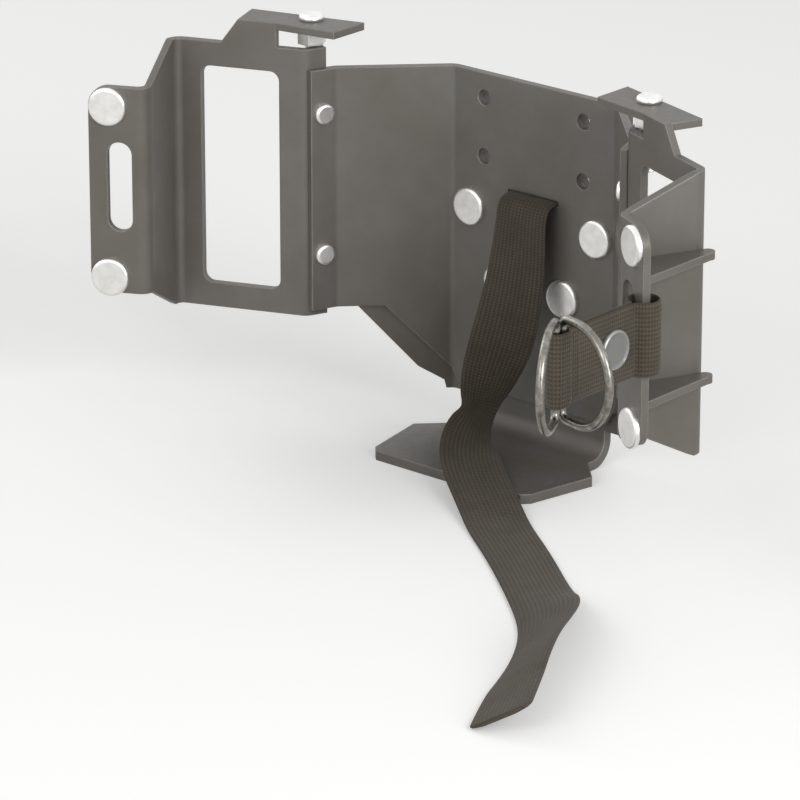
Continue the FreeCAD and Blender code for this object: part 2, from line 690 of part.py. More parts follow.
nut.Placement = upright(plate_height - size("washer_thickness") - size("nut_height"))
mirrored("left_clamp_nut", nut)

# Short strap: webbing looped through the right wing's slot, doubled, and looped round two rings
turn = math.radians(size("short_strap_turn"))
strap_line = Vector(-math.sin(turn), -math.cos(turn), 0)
strap_side = Vector(-strap_line.y, strap_line.x, 0)
webbing = size("strap_thickness")
bar_point = wing_root + wing_line * (size("wing_width") - size("slot_edge_distance") / 2) - wing_normal * (
    thickness / 2)
bight_point = bar_point + wing_line
bight_inner = size("short_strap_bight")
ring_gap = 0.3
ring_pitch = 2 * size("ring_wire_radius") + ring_gap
front_loop_radius = size("ring_wire_radius") + size("strap_clearance")
front_centre_near = bight_point + strap_line * size("short_strap_length")
front_centre_far = front_centre_near + strap_line * ring_pitch


def capsule(first, second, radius, along):
    """Outline of a band with round ends between two points."""
    side = Vector(-along.y, along.x, 0)
    return [
        Part.LineSegment(first + side * radius, second + side * radius),
        Part.Arc(second + side * radius, second + along * radius, second - side * radius),
        Part.LineSegment(second - side * radius, first - side * radius),
        Part.Arc(first - side * radius, first - along * radius, first + side * radius),
    ]


short_strap = new_body("short_strap")
strap_low = slot_middle - size("short_strap_width") / 2
level_place = Placement(Vector(0, 0, strap_low), Rotation())
core_start = bight_point + strap_line * bight_inner
core_end = front_centre_near - strap_line * (front_loop_radius * 0.5)
core = [core_start + strap_side * webbing, core_end + strap_side * webbing,
        core_end - strap_side * webbing, core_start - strap_side * webbing]
pad(short_strap, "strap_core", add_sketch(short_strap, "strap_core_plan", [polygon_outline(core)], level_place),
    "Sizes.short_strap_width")
pad(short_strap, "ring_loop", add_sketch(
    short_strap, "ring_loop_plan",
    [capsule(front_centre_near, front_centre_far, front_loop_radius + webbing, strap_line)], level_place),
    "Sizes.short_strap_width")
pad(short_strap, "wing_loop", add_sketch(
    short_strap, "wing_loop_plan",
    [[Part.Circle(bight_point, Vector(0, 0, 1), bight_inner + webbing)]], level_place), "Sizes.short_strap_width")
upper_place = Placement(Vector(0, 0, strap_low + size("short_strap_width") + 5), Rotation())
cut(short_strap, "ring_loop_inside",
    [capsule(front_centre_near, front_centre_far, front_loop_radius, strap_line)], upper_place,
    "Sizes.short_strap_width + 10")
cut(short_strap, "wing_loop_inside", [[Part.Circle(bight_point, Vector(0, 0, 1), bight_inner)]], upper_place,
    "Sizes.short_strap_width + 10")

# Snap: flat cap on the outer side of the doubled webbing, with a small cap inside
snap_centre = bight_point + strap_line * size("snap_place") + strap_side * webbing + Vector(
    0, 0, slot_middle)
snap = new_body("strap_snap")
snap_place = facing(snap_centre, strap_side)
cap = [Part.Circle(Vector(0, 0, 0), Vector(0, 0, 1), size("snap_radius"))]
pad(snap, "snap_cap", add_sketch(snap, "snap_cap_plan", [cap]), "Sizes.snap_height")
round_edges(snap, "snap_edge",
            lambda edge: edge.Curve.TypeId == "Part::GeomCircle" and edge.CenterOfMass.z > size("snap_height") / 2,
            "0.5 * Sizes.snap_height")
snap.Placement = snap_place


# Rings: round wire bent to a D, its straight bar upright in the webbing's loop
def ring(name, centre, heading):
    """D of wire in an upright plane: bar on the pivot, bow towards the heading angle."""
    half = size("ring_height") / 2
    corner = size("ring_corner_radius")
    straight = size("ring_straight")
    wire = size("ring_wire_radius")
    start = Vector(0, 0, 0)
    path = [
        Part.LineSegment(start, Vector(0, 0, half - corner)),
        Part.Arc(Vector(0, 0, half - corner),
                 Vector(corner * (1 - math.cos(math.pi / 4)), 0, half - corner + corner * math.sin(math.pi / 4)),
                 Vector(corner, 0, half)),
        Part.LineSegment(Vector(corner, 0, half), Vector(straight, 0, half)),
        Part.Arc(Vector(straight, 0, half), Vector(straight + half, 0, 0), Vector(straight, 0, -half)),
        Part.LineSegment(Vector(straight, 0, -half), Vector(corner, 0, -half)),
        Part.Arc(Vector(corner, 0, -half),
                 Vector(corner * (1 - math.cos(math.pi / 4)), 0, -half + corner - corner * math.sin(math.pi / 4)),
                 Vector(0, 0, -half + corner)),
        Part.LineSegment(Vector(0, 0, -half + corner), start),
    ]
    spine = Part.Wire([piece.toShape() for piece in path])
    section = Part.Wire([Part.Circle(start, Vector(0, 0, 1), wire).toShape()])
    item = doc.addObject("Part::Feature", name + "_wire")
    item.Shape = spine.makePipeShell([section], True, False)
    item.Placement = Placement(centre, Rotation(Vector(0, 0, 1), heading))
    return keep(name, item)


ring_height_place = Vector(0, 0, slot_middle)
ring("rear_ring", front_centre_near + ring_height_place, -14)
ring("front_ring", front_centre_far + ring_height_place, -62)


# Long strap: webbing from the slot in the back plate, down the front, and along the floor
def ribbon(name, stations):
    """Solid of flat webbing through stations of middle, width direction and face direction."""
    sections = []
    for middle, across, normal in stations:
        across = Vector(across).normalize() * (size("strap_width") / 2)
        normal = Vector(normal)
        normal = (normal - across * (normal.dot(across) / across.dot(across))).normalize() * (webbing / 2)
        middle = Vector(middle)
        # No corner lies below the floor
        middle.z = max(middle.z, abs(across.z) + abs(normal.z))
        corners = [middle + across + normal, middle - across + normal,
                   middle - across - normal, middle + across - normal]
        sections.append(Part.makePolygon(corners + corners[:1]))
    item = doc.addObject("Part::Feature", name + "_ribbon")
    item.Shape = Part.makeLoft(sections, True, True)
    return keep(name, item)


lying = webbing / 2
slot_z = size("strap_slot_height")
# Middle of the webbing, its width direction and the direction that its face looks
ribbon("long_strap", [
    ((0, back_face + 4.3, slot_z), (1, 0, 0), (0, 0, 1)),
    ((0, back_face - 3, slot_z), (1, 0, 0), (0, 0, 1)),
    ((0, back_face - 6.5, slot_z - 3), (1, 0, 0), (0, -0.7, 0.7)),
    ((0, back_face - 7.5, slot_z - 10), (1, 0, 0), (0, -1, 0)),
    ((0.5, back_face - 10, 76), (0.98, 0.2, 0.06), (0.2, -1, 0.05)),
    ((1, 10, 52), (0.68, 0.62, 0.38), (0.57, -0.77, 0.25)),
    ((-2, 3, 34), (0.35, 0.85, 0.15), (0.8, -0.35, 0.15)),
    ((-3, -2, 21), (-0.22, 0.95, -0.2), (0.85, 0.25, 0.1)),
    ((1.5, -11, 13.5), (0.05, 1, -0.05), (0.6, 0, 0.6)),
    ((11, -22, 9.2), (0.25, 0.95, 0), (0.15, -0.05, 1)),
    ((35, -39, 3.4), (0.55, 0.83, 0), (0.02, -0.02, 1)),
    ((48, -49, lying), (0.57, 0.82, 0), (0, 0, 1)),
    ((73, -67, lying), (0.6, 0.8, 0), (0, 0, 1)),
    ((106, -94, lying), (0.62, 0.78, 0), (0, 0, 1)),
    ((119, -107, 2.4), (0.72, 0.68, 0.1), (-0.1, 0, 1)),
    ((131, -122, 5.4), (0.78, 0.5, 0.37), (-0.3, -0.2, 0.93)),
    ((145.5, -146, 8.6), (0.64, 0.37, 0.67), (-0.57, -0.33, 0.74)),
    ((156.5, -166, 8.6), (0.64, 0.37, 0.67), (-0.57, -0.33, 0.74)),
    ((166.5, -184, 8.2), (0.68, 0.39, 0.62), (-0.53, -0.31, 0.78)),
    ((175, -201, 7.6), (0.74, 0.42, 0.52), (-0.45, -0.26, 0.85)),
])

# Checks, then one file for each piece
doc.recompute()
for item in doc.Objects:
    if "Invalid" in item.State or "Error" in item.State:
        raise RuntimeError(f"{item.Label} failed: {item.State}")
os.makedirs("parts", exist_ok=True)
for name, item in parts.items():
    shape = item.Shape
    if shape.isNull() or not shape.isValid() or not shape.Solids:
        raise RuntimeError(f"{name} has no valid solid")
    shape.exportStep(f"parts/{name}.step")
    box = shape.BoundBox
    print(f"{name:26s} {shape.Volume / 1000:8.2f} cm3  solids {len(shape.Solids)}  "
          f"x {box.XMin:.1f} {box.XMax:.1f}  y {box.YMin:.1f} {box.YMax:.1f}  z {box.ZMin:.1f} {box.ZMax:.1f}")
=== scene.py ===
import math

import bmesh
import bpy
import numpy as np
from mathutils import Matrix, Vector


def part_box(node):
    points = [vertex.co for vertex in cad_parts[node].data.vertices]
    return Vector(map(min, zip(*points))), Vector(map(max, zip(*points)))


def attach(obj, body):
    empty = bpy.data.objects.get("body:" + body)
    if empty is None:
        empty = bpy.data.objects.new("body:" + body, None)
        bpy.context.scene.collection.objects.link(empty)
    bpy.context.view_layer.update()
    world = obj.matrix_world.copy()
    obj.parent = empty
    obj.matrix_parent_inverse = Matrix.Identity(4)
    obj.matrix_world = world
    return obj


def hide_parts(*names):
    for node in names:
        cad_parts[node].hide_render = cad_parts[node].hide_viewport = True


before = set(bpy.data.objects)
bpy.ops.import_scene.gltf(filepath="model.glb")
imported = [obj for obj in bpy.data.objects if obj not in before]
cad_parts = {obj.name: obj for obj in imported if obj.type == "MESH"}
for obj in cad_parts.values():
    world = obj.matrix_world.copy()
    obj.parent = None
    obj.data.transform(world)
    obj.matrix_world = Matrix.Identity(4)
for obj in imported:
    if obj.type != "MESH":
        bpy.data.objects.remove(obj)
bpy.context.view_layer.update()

# Viewpoint: the camera stands a little above the holder and to the right of its front, and looks at
# the middle of the holder. The long lens fills the picture with it.
camera_place = np.array([1.2949, -1.5414, 0.7601])
camera_target = np.array([0.0329, -0.0890, 0.0600])
camera_data = bpy.data.cameras.new("camera")
camera_data.lens = 246.0
camera_data.sensor_width = 36.0
camera_data.clip_end = 50.0
camera = bpy.data.objects.new("camera", camera_data)
bpy.context.scene.collection.objects.link(camera)
sight = camera_target - camera_place
sight_turn = math.atan2(-sight[0], sight[1])
sight_fall = math.atan2(math.hypot(sight[0], sight[1]), -sight[2])
camera.location = camera_place
camera.rotation_euler = (sight_fall, 0.0, sight_turn)
bpy.context.scene.camera = camera

# Folded plates: cradle, foot bracket, two wing brackets and four welded gussets, laser-cut from steel
# sheet and bent on a press brake. They are coated dark grey-brown in a satin finish. The coat is painted
# paler along the cut edges and the bends: a painted edge highlight, partly worn coat.
plate_grey = "#6f6d69"
plate_brown = "#625d56"
# Pale edge colour: a painted highlight along edges and bends, partly worn coat
plate_edge_highlight = "#9b978f"
coat_grain = 0.0009
coat_cloud = 0.045
coat_streak = 0.002
edge_round = 0.0009


def linear(code):
    """Linear colour of an sRGB hex code: c / 12.92 below 0.04045, else ((c + 0.055) / 1.055) to the 2.4."""
    channels = np.array([int(code[place:place + 2], 16) for place in (1, 3, 5)]) / 255
    curved = ((channels + 0.055) / 1.055) ** 2.4
    return (*np.where(channels <= 0.04045, channels / 12.92, curved).tolist(), 1.0)


def add_node(tree, kind, links=None, values=None, **settings):
    """Adds a shader node with its settings, its sockets' values and the outputs linked to its sockets."""
    made = tree.nodes.new(kind)
    for name, value in settings.items():
        setattr(made, name, value)
    for socket, value in (values or {}).items():
        made.inputs[socket].default_value = value
    for socket, source in (links or {}).items():
        tree.links.new(source, made.inputs[socket])
    return made


def new_material(name):
    """Makes an empty node material and gives it with its node tree."""
    material = bpy.data.materials.new(name)
    material.use_nodes = True
    material.node_tree.nodes.clear()
    return material, material.node_tree


coated_steel, tree = new_material("satin_coated_steel")
# Powder coat on steel: soft highlights, fine orange peel, cloudy tone, edges painted pale as highlight and
# worn coat
place = add_node(tree, "ShaderNodeTexCoord").outputs["Object"]
cloud = add_node(tree, "ShaderNodeTexNoise", {"Vector": place},
                 {"Scale": 1 / coat_cloud, "Detail": 5.0, "Roughness": 0.62})
grain = add_node(tree, "ShaderNodeTexNoise", {"Vector": place},
                 {"Scale": 1 / coat_grain, "Detail": 2.0, "Roughness": 0.5})
drawn = add_node(tree, "ShaderNodeMapping", {"Vector": place}, {"Scale": (1.0, 1.0, 0.16)})
streak = add_node(tree, "ShaderNodeTexNoise", {"Vector": drawn.outputs["Vector"]},
                  {"Scale": 1 / coat_streak, "Detail": 4.0, "Roughness": 0.7})
soft_edge = add_node(tree, "ShaderNodeBevel", None, {"Radius": edge_round}, samples=6)
true_face = add_node(tree, "ShaderNodeNewGeometry")
sameness = add_node(tree, "ShaderNodeVectorMath",
                    {0: soft_edge.outputs["Normal"], 1: true_face.outputs["Normal"]}, operation="DOT_PRODUCT")
# Painted edge highlight: paler where the rounded normal leaves the face, partly worn coat, in streaks
edge_highlight_mask = add_node(tree, "ShaderNodeMapRange", {"Value": sameness.outputs["Value"]},
                  {"From Min": 0.995, "From Max": 0.80, "To Min": 0.0, "To Max": 1.0})
patchy = add_node(tree, "ShaderNodeMapRange", {"Value": streak.outputs["Fac"]},
                  {"From Min": 0.30, "From Max": 0.62, "To Min": 0.35, "To Max": 1.0})
edge_highlight_and_wear = add_node(tree, "ShaderNodeMath", {0: edge_highlight_mask.outputs["Result"], 1: patchy.outputs["Result"]},
                operation="MULTIPLY")
tone = add_node(tree, "ShaderNodeMapRange", {"Value": cloud.outputs["Fac"]},
                {"From Min": 0.32, "From Max": 0.68, "To Min": 0.0, "To Max": 1.0})
flat_tone = add_node(tree, "ShaderNodeMix", {"Factor": tone.outputs["Result"]},
                     {6: linear(plate_brown), 7: linear(plate_grey)}, data_type="RGBA")
highlit_and_worn_tone = add_node(tree, "ShaderNodeMix", {"Factor": edge_highlight_and_wear.outputs["Value"], 6: flat_tone.outputs[2]},
                     {7: linear(plate_edge_highlight)}, data_type="RGBA")
gloss = add_node(tree, "ShaderNodeMapRange", {"Value": streak.outputs["Fac"]},
                 {"From Min": 0.25, "From Max": 0.75, "To Min": 0.36, "To Max": 0.5})
peel = add_node(tree, "ShaderNodeBump",
                {"Height": grain.outputs["Fac"], "Normal": soft_edge.outputs["Normal"]},
                {"Strength": 0.12, "Distance": 0.0001})
coat = add_node(tree, "ShaderNodeBsdfPrincipled",
                {"Base Color": highlit_and_worn_tone.outputs[2], "Roughness": gloss.outputs["Result"],
                 "Normal": peel.outputs["Normal"]},
                {"Metallic": 0.2, "IOR": 1.5})
add_node(tree, "ShaderNodeOutputMaterial", {"Surface": coat.outputs["BSDF"]})

plate_nodes = ["cradle", "foot_bracket"]
plate_nodes += [f"{side}_wing_bracket" for side in ("right", "left")]
plate_nodes += [f"{side}_gusset_{level}" for side in ("right", "left") for level in ("lower", "upper")]


def dress(names, material):
    """Gives CAD nodes one material, in every slot they have."""
    for name in names:
        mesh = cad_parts[name].data
        mesh.materials.clear()
        mesh.materials.append(material)


dress(plate_nodes, coated_steel)

# Rivets: turned from bright steel, with broad flat heads on the plates' front faces and small heads
# set behind. They hold the cradle to the foot bracket and the wings' backing, and stay unpainted.
rivet_bright = "#fbfaf8"
rivet_dull = "#ecebe7"
lathe_line = 0.0007
zinc_stains_per_metre = 260.0
zinc_edge_round = 0.0004

bright_steel, tree = new_material("bright_zinc_steel")
# Zinc-plated steel: near-white mirror that lathe lines and small stains make softer
place = add_node(tree, "ShaderNodeTexCoord").outputs["Object"]
stain = add_node(tree, "ShaderNodeTexNoise", {"Vector": place},
                 {"Scale": zinc_stains_per_metre, "Detail": 4.0, "Roughness": 0.6})
lines = add_node(tree, "ShaderNodeTexNoise", {"Vector": place}, {"Scale": 1 / lathe_line, "Detail": 2.0})
spread = add_node(tree, "ShaderNodeMapRange", {"Value": stain.outputs["Fac"]},
                  {"From Min": 0.35, "From Max": 0.65, "To Min": 0.0, "To Max": 1.0})
zinc_tone = add_node(tree, "ShaderNodeMix", {"Factor": spread.outputs["Result"]},
                     {6: linear(rivet_dull), 7: linear(rivet_bright)}, data_type="RGBA")
zinc_gloss = add_node(tree, "ShaderNodeMapRange", {"Value": lines.outputs["Fac"]},
                      {"From Min": 0.3, "From Max": 0.7, "To Min": 0.3, "To Max": 0.4})
zinc_edge = add_node(tree, "ShaderNodeBevel", None, {"Radius": zinc_edge_round}, samples=4)
zinc_bump = add_node(tree, "ShaderNodeBump",
                     {"Height": lines.outputs["Fac"], "Normal": zinc_edge.outputs["Normal"]},
                     {"Strength": 0.05, "Distance": 0.00003})
zinc = add_node(tree, "ShaderNodeBsdfPrincipled",
                {"Base Color": zinc_tone.outputs[2], "Roughness": zinc_gloss.outputs["Result"],
                 "Normal": zinc_bump.outputs["Normal"]}, {"Metallic": 1.0})
add_node(tree, "ShaderNodeOutputMaterial", {"Surface": zinc.outputs["BSDF"]})

sides = ("right", "left")
levels = ("lower", "upper")
rivet_nodes = [f"back_rivet_{side}_{level}" for side in sides for level in levels]
rivet_nodes += [f"{side}_{sheet}_rivet_{level}"
                for side in sides for sheet in ("wing", "cheek") for level in levels]
dress(rivet_nodes, bright_steel)

# Clamp bolts: M6 steel screws that hang through the level plate at the top of each wing bracket, with
# a washer and a nut under it. Head turned and domed, shank rolled with a 1 mm thread.
bolt_radius = 0.003
thread_pitch = 0.001
thread_depth = 0.00045
bolt_head_radius = 0.005
bolt_head_height = 0.0026
bolt_chamfer = 0.0006
bolt_dome_share = 0.6
under_head_gap = 0.0002
rows_per_thread = 8


def build_piece(name, points, material, body="holder", uv=None, rows_close=False, columns_close=True):
    """Mesh of quads on a grid of points: row i runs along the shape, column j round it.
    A closed direction joins its last line to its first. Lines that shrink to one point are merged,
    and the faces are turned outwards. Points with one more index before these hold several grids."""
    rows, columns = points.shape[-3:-1]
    row_steps = np.arange(rows if rows_close else rows - 1)
    column_steps = np.arange(columns if columns_close else columns - 1)
    first, second = [step.ravel() for step in np.meshgrid(row_steps, column_steps, indexing="ij")]
    next_row, next_column = (first + 1) % rows, (second + 1) % columns
    one_grid = np.stack([first * columns + second, next_row * columns + second,
                         next_row * columns + next_column, first * columns + next_column], axis=1)
    grid_starts = np.arange(0, points.size // 3, rows * columns)
    faces = (grid_starts[:, None, None] + one_grid).reshape(-1, 4)
    mesh = bpy.data.meshes.new(name)
    mesh.from_pydata(points.reshape(-1, 3).tolist(), [], faces.tolist())
    if uv is not None:
        across, along = uv
        corners_row = np.stack([first, first + 1, first + 1, first], axis=1)
        corners_column = np.stack([second, second, second + 1, second + 1], axis=1)
        layer = mesh.uv_layers.new(name="cloth")
        layer.data.foreach_set("uv", np.stack(
            [across[corners_column], along[corners_row]], axis=-1).ravel().astype(np.float32))
    shell = bmesh.new()
    shell.from_mesh(mesh)
    bmesh.ops.remove_doubles(shell, verts=shell.verts, dist=1e-7)
    bmesh.ops.recalc_face_normals(shell, faces=shell.faces)
    shell.to_mesh(mesh)
    shell.free()
    mesh.shade_smooth()
    mesh.materials.append(material)
    piece = bpy.data.objects.new(name, mesh)
    bpy.context.scene.collection.objects.link(piece)
    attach(piece, body)
    return piece


def turned_points(radii, heights, columns, axis, centre, thread=None):
    """Points of a shape turned about an axis: centre + height along the axis + radius round it.
    A thread adds a triangle wave of height over pitch, less one turn per round, where it is wanted."""
    angle = np.linspace(0, 2 * np.pi, columns, endpoint=False)
    axis = np.asarray(axis, float)
    helper = np.array([0.0, 0.0, 1.0]) if abs(axis[2]) < 0.9 else np.array([1.0, 0.0, 0.0])
    side = np.cross(helper, axis)
    side /= np.linalg.norm(side)
    other = np.cross(axis, side)
    radius = np.repeat(np.asarray(radii)[:, None], columns, axis=1)
    if thread is not None:
        phase = np.asarray(heights)[:, None] / thread_pitch - angle[None, :] / (2 * np.pi)
        wave = np.abs(2 * (phase - np.floor(phase)) - 1)
        radius = radius - thread[:, None] * thread_depth * wave
    round_part = (np.cos(angle)[None, :, None] * side + np.sin(angle)[None, :, None] * other)
    return centre + np.asarray(heights)[:, None, None] * axis + radius[:, :, None] * round_part


for side in sides:
    low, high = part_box(f"{side}_clamp_bolt")
    seat = high[2] - bolt_head_height
    middle = np.array([(low[0] + high[0]) / 2, (low[1] + high[1]) / 2, seat])
    length = seat - low[2]
    shank = np.linspace(-length, -under_head_gap, int(length / thread_pitch * rows_per_thread))
    threaded = np.clip((shank + length) / bolt_chamfer, 0, 1)
    shank_radius = bolt_radius - (1 - threaded) * bolt_chamfer
    dome = np.linspace(0, np.pi / 2, 7)
    dome_rise = bolt_dome_share * bolt_head_height
    head_radii = np.concatenate(
        [[bolt_head_radius], bolt_head_radius - dome_rise * (1 - np.cos(dome)), [0.0]])
    head_heights = np.concatenate(
        [[0.0], bolt_head_height - dome_rise * (1 - np.sin(dome)), [bolt_head_height]])
    radii = np.concatenate([[0.0], shank_radius, [bolt_radius], head_radii])
    heights = np.concatenate([[-length], shank, [0.0], head_heights])
    cut = np.concatenate([[0.0], threaded, np.zeros(len(head_radii) + 1)])
    bolt = build_piece(f"{side}_threaded_bolt", turned_points(radii, heights, 40, (0, 0, 1), middle, cut),
                       bright_steel)
    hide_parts(f"{side}_clamp_bolt")
dress([f"{side}_clamp_{item}" for side in sides for item in ("washer", "nut")], bright_steel)

# Long strap: woven polypropylene webbing, 25 mm wide, that is held in the slot of the back plate, hangs
# down the cradle's front and twists over the ledge. It lies on the floor, where its last stretch
# leans on one edge, and its cut end is free.
webbing_thickness = 0.0016
long_strap_width = 0.025
rib_pitch = 0.0017
pick_pitch = 0.0011
cut_corner = 0.004
cloth_fuzz_per_metre = 1400.0
cloth_dirt_per_metre = 70.0
webbing_dark = "#30291f"
webbing_pale = "#50483a"
# Middle of the webbing in mm, and its width direction
strap_route = np.array([
    [0, 32.3, 104], [0, 25, 104], [0, 21.5, 101], [0, 20.5, 94], [0.5, 18, 76], [1, 10, 52], [-2, 3, 34],
    [-3, -2, 21], [1.5, -11, 13.5], [11, -22, 9.2], [35, -39, 3.4], [48, -49, 0.8], [73, -67, 0.8],
    [104, -92, 1.0], [118.7, -105.4, 4.6], [129.5, -117.5, 6.6], [138.5, -131, 8.1], [147, -147, 8.9],
    [154.5, -162, 8.4], [162, -177.5, 6.8], [174.8, -199.6, 6.7]]) / 1000
strap_across = np.array([
    [1, 0, 0], [1, 0, 0], [1, 0, 0], [1, 0, 0], [0.98, 0.2, 0.06], [0.68, 0.62, 0.38], [0.35, 0.85, 0.15],
    [-0.22, 0.95, -0.2], [0.05, 1, -0.05], [0.25, 0.95, 0], [0.55, 0.83, 0], [0.57, 0.82, 0], [0.6, 0.8, 0],
    [0.62, 0.78, 0], [0.65, 0.7, 0.29], [0.7, 0.54, 0.45], [0.7, 0.42, 0.57], [0.66, 0.38, 0.64],
    [0.71, 0.36, 0.6], [0.77, 0.43, 0.47], [0.77, 0.44, 0.46]])
strap_across /= np.linalg.norm(strap_across, axis=1, keepdims=True)


def smooth_line(name, controls):
    """Points of the NURBS line of order 3 that has these control points and starts and ends on them."""
    data = bpy.data.curves.new(name, "CURVE")
    data.dimensions = "3D"
    data.resolution_u = 36
    spline = data.splines.new("NURBS")
    spline.points.add(len(controls) - 1)
    spline.points.foreach_set("co", np.column_stack([controls, np.ones(len(controls))]).ravel())
    spline.order_u = 3
    spline.use_endpoint_u = True
    holder = bpy.data.objects.new(name, data)
    mesh = bpy.data.meshes.new_from_object(holder)
    line = np.empty(len(mesh.vertices) * 3, np.float32)
    mesh.vertices.foreach_get("co", line)
    bpy.data.objects.remove(holder)
    bpy.data.curves.remove(data)
    bpy.data.meshes.remove(mesh)
    return line.reshape(-1, 3).astype(float)


def band_profile(width, thickness, points_across=23):
    """Outline of the webbing's section: a flat bar with round edges, as (across, out) pairs.
    The faces follow |a / half width| to the 8th + |b / half thickness| to the 2nd = 1."""
    angle = np.linspace(0, 2 * np.pi, 2 * points_across, endpoint=False)
    across = width / 2 * np.sign(np.cos(angle)) * np.abs(np.cos(angle)) ** 0.25
    out = thickness / 2 * np.sin(angle)
    return across, out


def band_points(line, across, width, thickness, closed=False, corner=1e-6):
    """Band carried along a line: line + a times the width direction + b times the face's normal.
    The width direction is made square to the run, and both ends of an open band are filled. Nearer to
    the cut end than the corner's radius r, each edge draws in by r - sqrt(r^2 - (r - distance)^2)."""
    ahead = np.roll(line, -1, axis=0) if closed else np.vstack([line[1:], line[-1:]])
    behind = np.roll(line, 1, axis=0) if closed else np.vstack([line[:1], line[:-1]])
    run = ahead - behind
    run /= np.linalg.norm(run, axis=1, keepdims=True)
    side = across - run * np.sum(across * run, axis=1, keepdims=True)
    side /= np.linalg.norm(side, axis=1, keepdims=True)
    face = np.cross(run, side)
    a, b = band_profile(width, thickness)
    if closed:
        return line[:, None] + a[None, :, None] * side[:, None] + b[None, :, None] * face[:, None]
    steps = np.linalg.norm(np.diff(line, axis=0), axis=1)
    to_cut = np.append(np.cumsum(steps[::-1])[::-1], 0.0)
    drawn_in = corner - np.sqrt(corner ** 2 - np.maximum(corner - to_cut, 0) ** 2)
    spread = (1 - drawn_in / (width / 2))[:, None, None]
    points = line[:, None] + a[None, :, None] * spread * side[:, None] + b[None, :, None] * face[:, None]
    first = np.repeat(line[:1, None], len(a), axis=1)
    last = np.repeat(line[-1:, None], len(a), axis=1)
    return np.concatenate([first, points, last])


def band_uv(line, width, thickness, closed=False):
    """Flat coordinates in metres: round the section, and along the line."""
    a, b = band_profile(width, thickness)
    step = np.hypot(np.diff(a, append=a[0]), np.diff(b, append=b[0]))
    round_way = np.concatenate([[0.0], np.cumsum(step)])
    run = np.linalg.norm(np.diff(line, axis=0, append=line[:1] if closed else line[-1:]), axis=1)
    along = np.concatenate([[0.0], np.cumsum(run)])
    return round_way, along if closed else np.concatenate([[0.0], along, along[-1:]])


webbing, tree = new_material("woven_polypropylene_webbing")
# Woven polypropylene: dull brown-grey with a soft sheen, ribs along it and picks across it. Both are
# drawn about half as coarse again as real ones, so that they show
place = add_node(tree, "ShaderNodeUVMap", uv_map="cloth").outputs["UV"]
parts = add_node(tree, "ShaderNodeSeparateXYZ", {"Vector": place})
rib_turn = add_node(tree, "ShaderNodeMath", {0: parts.outputs["X"]}, {1: 2 * math.pi / rib_pitch},
                    operation="MULTIPLY")
rib = add_node(tree, "ShaderNodeMath", {0: rib_turn.outputs["Value"]}, operation="SINE")
rib_lean = add_node(tree, "ShaderNodeMath", {0: rib.outputs["Value"]}, {1: 0.9}, operation="MULTIPLY")
pick_turn = add_node(tree, "ShaderNodeMath", {0: parts.outputs["Y"]}, {1: 2 * math.pi / pick_pitch},
                     operation="MULTIPLY")
pick_bent = add_node(tree, "ShaderNodeMath", {0: pick_turn.outputs["Value"], 1: rib_lean.outputs["Value"]},
                     operation="ADD")
pick = add_node(tree, "ShaderNodeMath", {0: pick_bent.outputs["Value"]}, operation="SINE")
weave = add_node(tree, "ShaderNodeMath", {0: rib.outputs["Value"], 1: pick.outputs["Value"]}, operation="ADD")
fuzz = add_node(tree, "ShaderNodeTexNoise", {"Vector": place}, {"Scale": cloth_fuzz_per_metre, "Detail": 3.0})
dirt = add_node(tree, "ShaderNodeTexNoise", {"Vector": place},
                {"Scale": cloth_dirt_per_metre, "Detail": 4.0, "Roughness": 0.65})
weave_high = add_node(tree, "ShaderNodeMapRange", {"Value": weave.outputs["Value"]},
                      {"From Min": -2.0, "From Max": 2.0, "To Min": 0.0, "To Max": 0.8})
thread_tone = add_node(tree, "ShaderNodeMath", {0: weave_high.outputs["Result"], 1: dirt.outputs["Fac"]},
                       operation="MULTIPLY")
cloth_factor = add_node(tree, "ShaderNodeMapRange", {"Value": thread_tone.outputs["Value"]},
                        {"From Min": 0.05, "From Max": 0.4, "To Min": 0.0, "To Max": 1.0})
cloth_tone = add_node(tree, "ShaderNodeMix", {"Factor": cloth_factor.outputs["Result"]},
                      {6: linear(webbing_dark), 7: linear(webbing_pale)}, data_type="RGBA")
height = add_node(tree, "ShaderNodeMath", {0: weave_high.outputs["Result"], 1: fuzz.outputs["Fac"]},
                  operation="ADD")
cloth_bump = add_node(tree, "ShaderNodeBump", {"Height": height.outputs["Value"]},
                      {"Strength": 0.8, "Distance": 0.00025})
cloth = add_node(tree, "ShaderNodeBsdfPrincipled",
                 {"Base Color": cloth_tone.outputs[2], "Normal": cloth_bump.outputs["Normal"]},
                 {"Roughness": 0.85, "IOR": 1.49, "Sheen Weight": 0.1, "Sheen Roughness": 0.5})
add_node(tree, "ShaderNodeOutputMaterial", {"Surface": cloth.outputs["BSDF"]})

strap_line = smooth_line("strap_middle", strap_route)
strap_edge = smooth_line("strap_edge", strap_route + strap_across * long_strap_width / 2)
long_strap = build_piece(
    "long_webbing_strap",
    band_points(strap_line, strap_edge - strap_line, long_strap_width, webbing_thickness, corner=cut_corner),
    webbing, uv=band_uv(strap_line, long_strap_width, webbing_thickness))
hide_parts("long_strap")

# Short strap: the same kind of webbing, 28.5 mm wide, passed through the right wing's slot and doubled
# back on itself, so that it holds the wing's outer bar in one loop and the two rings in the other.
# A snap closes it, and a row of stitches keeps the rings' loop tight.
short_strap_width = 0.0285
bight_place = np.array([0.13688, -0.07478, 0.1058])
wing_loop_radius = 0.0060
ring_loop_radius = 0.0028
ring_bar_near = 0.0460
ring_bar_far = 0.0495
layer_offset = 0.00085
layer_fade = 0.0012
stitched_share = 0.86
stitch_rows = (0.0385, 0.0415)
stitch_length = 0.0021
stitch_pitch = 0.0027
stitch_radius = 0.00022
thread_colour = "#57503f"
thread_fuzz_per_metre = 3000.0


